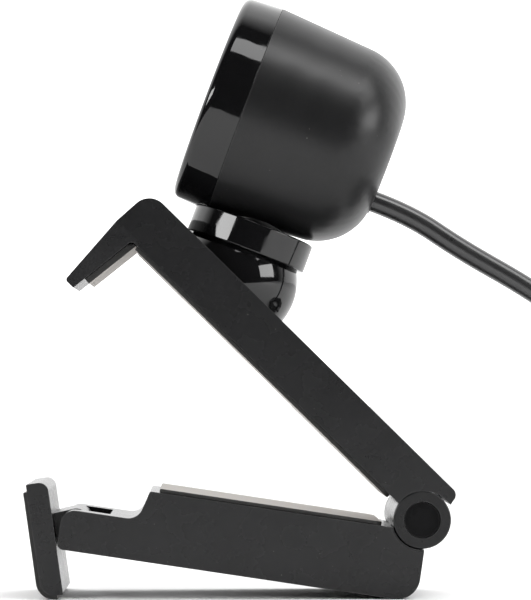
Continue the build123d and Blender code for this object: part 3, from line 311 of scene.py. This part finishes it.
# ---------- materials ----------
BLACK = (0.011, 0.011, 0.0115)
# Distances of the cap's recess floor from the middle plane, where painted shade lowers the specular level
CAP_RECESS = (14.2 * MM, 14.9 * MM)
finishes = {
    "arm_plastic": moulded("arm_grain", BLACK, 0.27, depth=0.004 * MM, shine=0.38, patchy=0.4),
    "cover_plastic": moulded("cover_grain", scaled(BLACK, 0.9), 0.42, coat=0.2),
    "housing_plastic": moulded("housing_satin", (0.008, 0.008, 0.0083), 0.33, grain=0.25 * MM,
                               depth=0.003 * MM, shine=0.33, patchy=0.3),
    "cap_plastic": moulded("cap_satin", scaled(BLACK, 0.7), 0.3, depth=0.003 * MM, shine=0.38,
                           painted_shade_recess=CAP_RECESS),
    "inner_plastic": moulded("inner_plastic", (0.02, 0.02, 0.02), 0.5, wear=0.3),
    "gloss_black": polished("gloss_black", (0.003, 0.003, 0.0033)),
    "window_black": polished("window_black", (0.004, 0.004, 0.005), 0.03),
    "pad_rubber": moulded("pad_rubber", (0.016, 0.0155, 0.015), 0.62, grain=0.5 * MM, depth=0.02 * MM,
                          dust=0.6, wear=0.25, sheen=0.6),
    "cord_rubber": moulded("cord_jacket", (0.014, 0.014, 0.0145), 0.3, grain=0.6 * MM, coat=0.5),
    "plug_rubber": moulded("plug_mould", (0.014, 0.014, 0.014), 0.45, grain=0.4 * MM, depth=0.012 * MM),
    "tie_plastic": woven("tie_weave", (0.03, 0.03, 0.032)),
    "pin_steel": turned("pin_steel", (0.62, 0.61, 0.60), 0.26),
    "spring_steel": turned("spring_steel", (0.55, 0.55, 0.56), 0.3),
    "screw_steel": turned("screw_steel", (0.10, 0.10, 0.105), 0.34),
    "bush_brass": turned("bush_brass", (0.70, 0.52, 0.24), 0.28),
    "lens_trim": moulded("lens_trim", (0.014, 0.014, 0.015), 0.28, depth=0.002 * MM),
    "lens_barrel_black": moulded("lens_barrel", (0.008, 0.008, 0.008), 0.55),
    "lens_glass": clear("lens_glass", (0.80, 0.86, 0.96), coat_tint=(0.75, 0.6, 1.0)),
    "filter_glass": clear("filter_glass", (0.55, 0.85, 0.95), coat_tint=(0.9, 0.5, 0.5)),
    "pipe_clear": clear("pipe_clear", (0.88, 0.92, 0.96), 0.12),
    "led_body": moulded("led_body", (0.75, 0.74, 0.66), 0.3, grain=0.2 * MM, depth=0.003 * MM,
                        worn=(0.8, 0.8, 0.7)),
    "chip_metal": turned("chip_metal", (0.72, 0.72, 0.73), 0.22),
    "chip_black": polished("sensor_die", (0.02, 0.025, 0.05), 0.08),
    "board_green": printed_board("board_lacquer"),
    "connector_plastic": moulded("connector_cream", (0.72, 0.69, 0.60), 0.45, worn=(0.8, 0.78, 0.7)),
    "plug_shell": turned("plug_shell", (0.46, 0.46, 0.47), 0.24, stretch=(0.05, 1, 1)),
    "plug_tongue": moulded("plug_tongue", (0.03, 0.03, 0.032), 0.4, grain=0.2 * MM),
    "contact_gold": turned("contact_gold", (0.86, 0.62, 0.24), 0.2, stretch=(0.05, 1, 1)),
}

for name, node in nodes.items():
    node.data.materials.clear()
    node.data.materials.append(finishes[slot_of[name]])

# ---------- rounded edges, in millimetres ----------
ROUNDED = {"upper_arm": 0.3, "lower_arm": 0.3, "foot": 0.3, "usb_overmould": 0.3, "arm_pad": 0.2,
           "lower_pad": 0.2, "lip_pad": 0.2, "foot_pad": 0.2, "rear_housing": 0.04, "front_bezel": 0.04}
FINE_EDGE = 0.08
SHARP_ANGLE = 35
WELD_WITHIN = 0.002


def soften(node, width):
    """Small rounded edges, as moulded and turned parts have."""
    weld = node.modifiers.new("weld", "WELD")
    weld.merge_threshold = WELD_WITHIN * MM
    bevel = node.modifiers.new("bevel", "BEVEL")
    bevel.width = width
    bevel.segments = 3
    bevel.limit_method = "ANGLE"
    bevel.angle_limit = radians(SHARP_ANGLE)
    normals = node.modifiers.new("normals", "WEIGHTED_NORMAL")
    normals.keep_sharp = True


for name, node in nodes.items():
    soften(node, ROUNDED.get(name, FINE_EDGE) * MM)

# ---------- cord ----------
CORD_R = 2.2 * MM
COIL_X = 105 * MM
COIL_Y = 6 * MM
LOWER_LAYER = 2.7 * MM
PITCH = 2 * CORD_R
INNER_TURN = 19.0 * MM
OUTER_TURN = 32.2 * MM
TURN_POINTS = 14
TURNS = 8.25
CLIMB_FROM = 3
OUTWARDS_FROM = 5
EXIT_RUN = [(0.02751, 0, 0.08051), (0.0352, 0, 0.0777), (0.0456, 0, 0.0706), (0.0595, 0, 0.0628),
            (0.0710, -0.0010, 0.0546), (0.0760, -0.0040, 0.0406), (0.0788, -0.0086, 0.0266),
            (0.0830, -0.0144, 0.0156), (0.0896, -0.0200, 0.0079), (0.0974, -0.0244, 0.0038)]
PLUG_RUN = [(0.1338, 0.0178, 0.0105), (0.1255, 0.0254, 0.0125), (0.1160, 0.0280, 0.01325),
            (0.1080, 0.0280, 0.01325)]


def coil_points():
    """Turns of the coil: inwards on the floor, one turn up to the top layer, then outwards on it."""
    points = []
    for i in range(round(TURNS * TURN_POINTS) + 1):
        turn = i / TURN_POINTS
        angle = -pi / 2 + 2 * pi * turn
        inwards = OUTER_TURN - PITCH * turn
        outwards = INNER_TURN + PITCH * (turn - OUTWARDS_FROM)
        radius = min(max(inwards, INNER_TURN, outwards), OUTER_TURN)
        layer = min(max(turn - CLIMB_FROM, 0), 1)
        points.append((COIL_X + radius * cos(angle), COIL_Y + radius * sin(angle),
                       LOWER_LAYER + PITCH * layer))
    return points


def make_lead():
    """The USB lead as one smooth line: free run, coil and the climb to the plug."""
    points = EXIT_RUN + coil_points() + PLUG_RUN
    curve = bpy.data.curves.new("usb_lead", "CURVE")
    curve.dimensions = "3D"
    spline = curve.splines.new("NURBS")
    spline.points.add(len(points) - 1)
    for point, position in zip(spline.points, points):
        point.co = (*position, 1)
    spline.order_u = 3
    spline.use_endpoint_u = True
    spline.resolution_u = 8
    curve.bevel_depth = CORD_R
    curve.bevel_resolution = 8
    curve.materials.append(finishes["cord_rubber"])
    lead = bpy.data.objects.new("usb_lead", curve)
    scene.collection.objects.link(lead)
    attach(lead, "head")
    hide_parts("cord_tube", "cord_coil", "cord_tail")


make_lead()

# ---------- camera ----------
CAMERA_AT = (-0.00695, -0.585, 0.0458)
CAMERA_TILT = 91.407
CAMERA_TURN = -1.216
camera_data = bpy.data.cameras.new("camera")
camera_data.lens = 171
camera_data.sensor_width = 36
camera_data.clip_start = 0.05
camera = bpy.data.objects.new("camera", camera_data)
camera.location = CAMERA_AT
camera.rotation_euler = (radians(CAMERA_TILT), 0, radians(CAMERA_TURN))
scene.collection.objects.link(camera)
scene.camera = camera

# ---------- studio ----------
FLOOR_FRONT = -0.52
FLOOR_BACK = 3.0
FLOOR_SIDE = 2.2
PALE = (0.90, 0.90, 0.90, 1)
WORLD_FRONT = 0.05
WORLD_BACK = 1.7
WORLD_BLEND = (-0.05, 0.35)


def make_floor():
    """Large plain pale floor."""
    x, front, back = FLOOR_SIDE, FLOOR_FRONT, FLOOR_BACK
    mesh = bpy.data.meshes.new("floor")
    mesh.from_pydata([(-x, front, 0), (x, front, 0), (x, back, 0), (-x, back, 0)], [], [(0, 1, 2, 3)])
    floor = bpy.data.objects.new("floor", mesh)
    floor.location.z = cad_low.z
    scene.collection.objects.link(floor)
    material, tree, bsdf = shader("floor_paper")
    bsdf.inputs["Base Color"].default_value = PALE
    bsdf.inputs["Roughness"].default_value = 0.9
    bsdf.inputs["Specular IOR Level"].default_value = 0.1
    mesh.materials.append(material)


def make_world():
    """Studio with a bright back and a dim front, from which the camera looks."""
    world = bpy.data.worlds.new("studio")
    scene.world = world
    world.use_nodes = True
    tree = world.node_tree
    tree.nodes.clear()
    output = tree.nodes.new("ShaderNodeOutputWorld")
    lit = tree.nodes.new("ShaderNodeBackground")
    lit.inputs["Color"].default_value = (1, 1, 1, 1)
    where = tree.nodes.new("ShaderNodeTexCoord")
    axes = tree.nodes.new("ShaderNodeSeparateXYZ")
    tree.links.new(where.outputs["Generated"], axes.inputs[0])
    towards_back = spread(tree, axes.outputs["Y"], WORLD_FRONT, WORLD_BACK, *WORLD_BLEND)
    rays = tree.nodes.new("ShaderNodeLightPath")
    strength = combine(tree, "MAXIMUM", towards_back, rays.outputs["Is Camera Ray"])
    tree.links.new(strength, lit.inputs["Strength"])
    tree.links.new(lit.outputs[0], output.inputs["Surface"])


def softbox(name, azimuth, elevation, width, height, radiance, distance=0.9, in_gloss=True,
            shape="RECTANGLE"):
    """Flat lamp aimed at the object; azimuth 0 is the camera's side, 90 is +X."""
    aim = Vector((0, 0, (cad_low.z + cad_high.z) / 2))
    a, e = radians(azimuth), radians(elevation)
    towards = Vector((sin(a) * cos(e), -cos(a) * cos(e), sin(e)))
    data = bpy.data.lights.new(name, "AREA")
    data.shape = shape
    data.size = width
    data.size_y = height
    data.energy = radiance * pi * width * height
    lamp = bpy.data.objects.new(name, data)
    lamp.location = aim + towards * distance
    lamp.rotation_euler = towards.to_track_quat("Z", "Y").to_euler()
    lamp.visible_camera = False
    lamp.visible_glossy = in_gloss
    scene.collection.objects.link(lamp)


make_floor()
make_world()
softbox("left_softbox", -53, 18, 0.55, 0.15, 12)
softbox("right_softbox", 62, 14, 0.45, 0.30, 8)
softbox("top_softbox", 28, 58, 0.50, 0.26, 4.0, shape="ELLIPSE")
softbox("upper_right_softbox", 62, 49, 0.40, 0.50, 4.6)
softbox("back_fill", 180, 58, 6.5, 3.0, 1.7, distance=4.0, in_gloss=False)
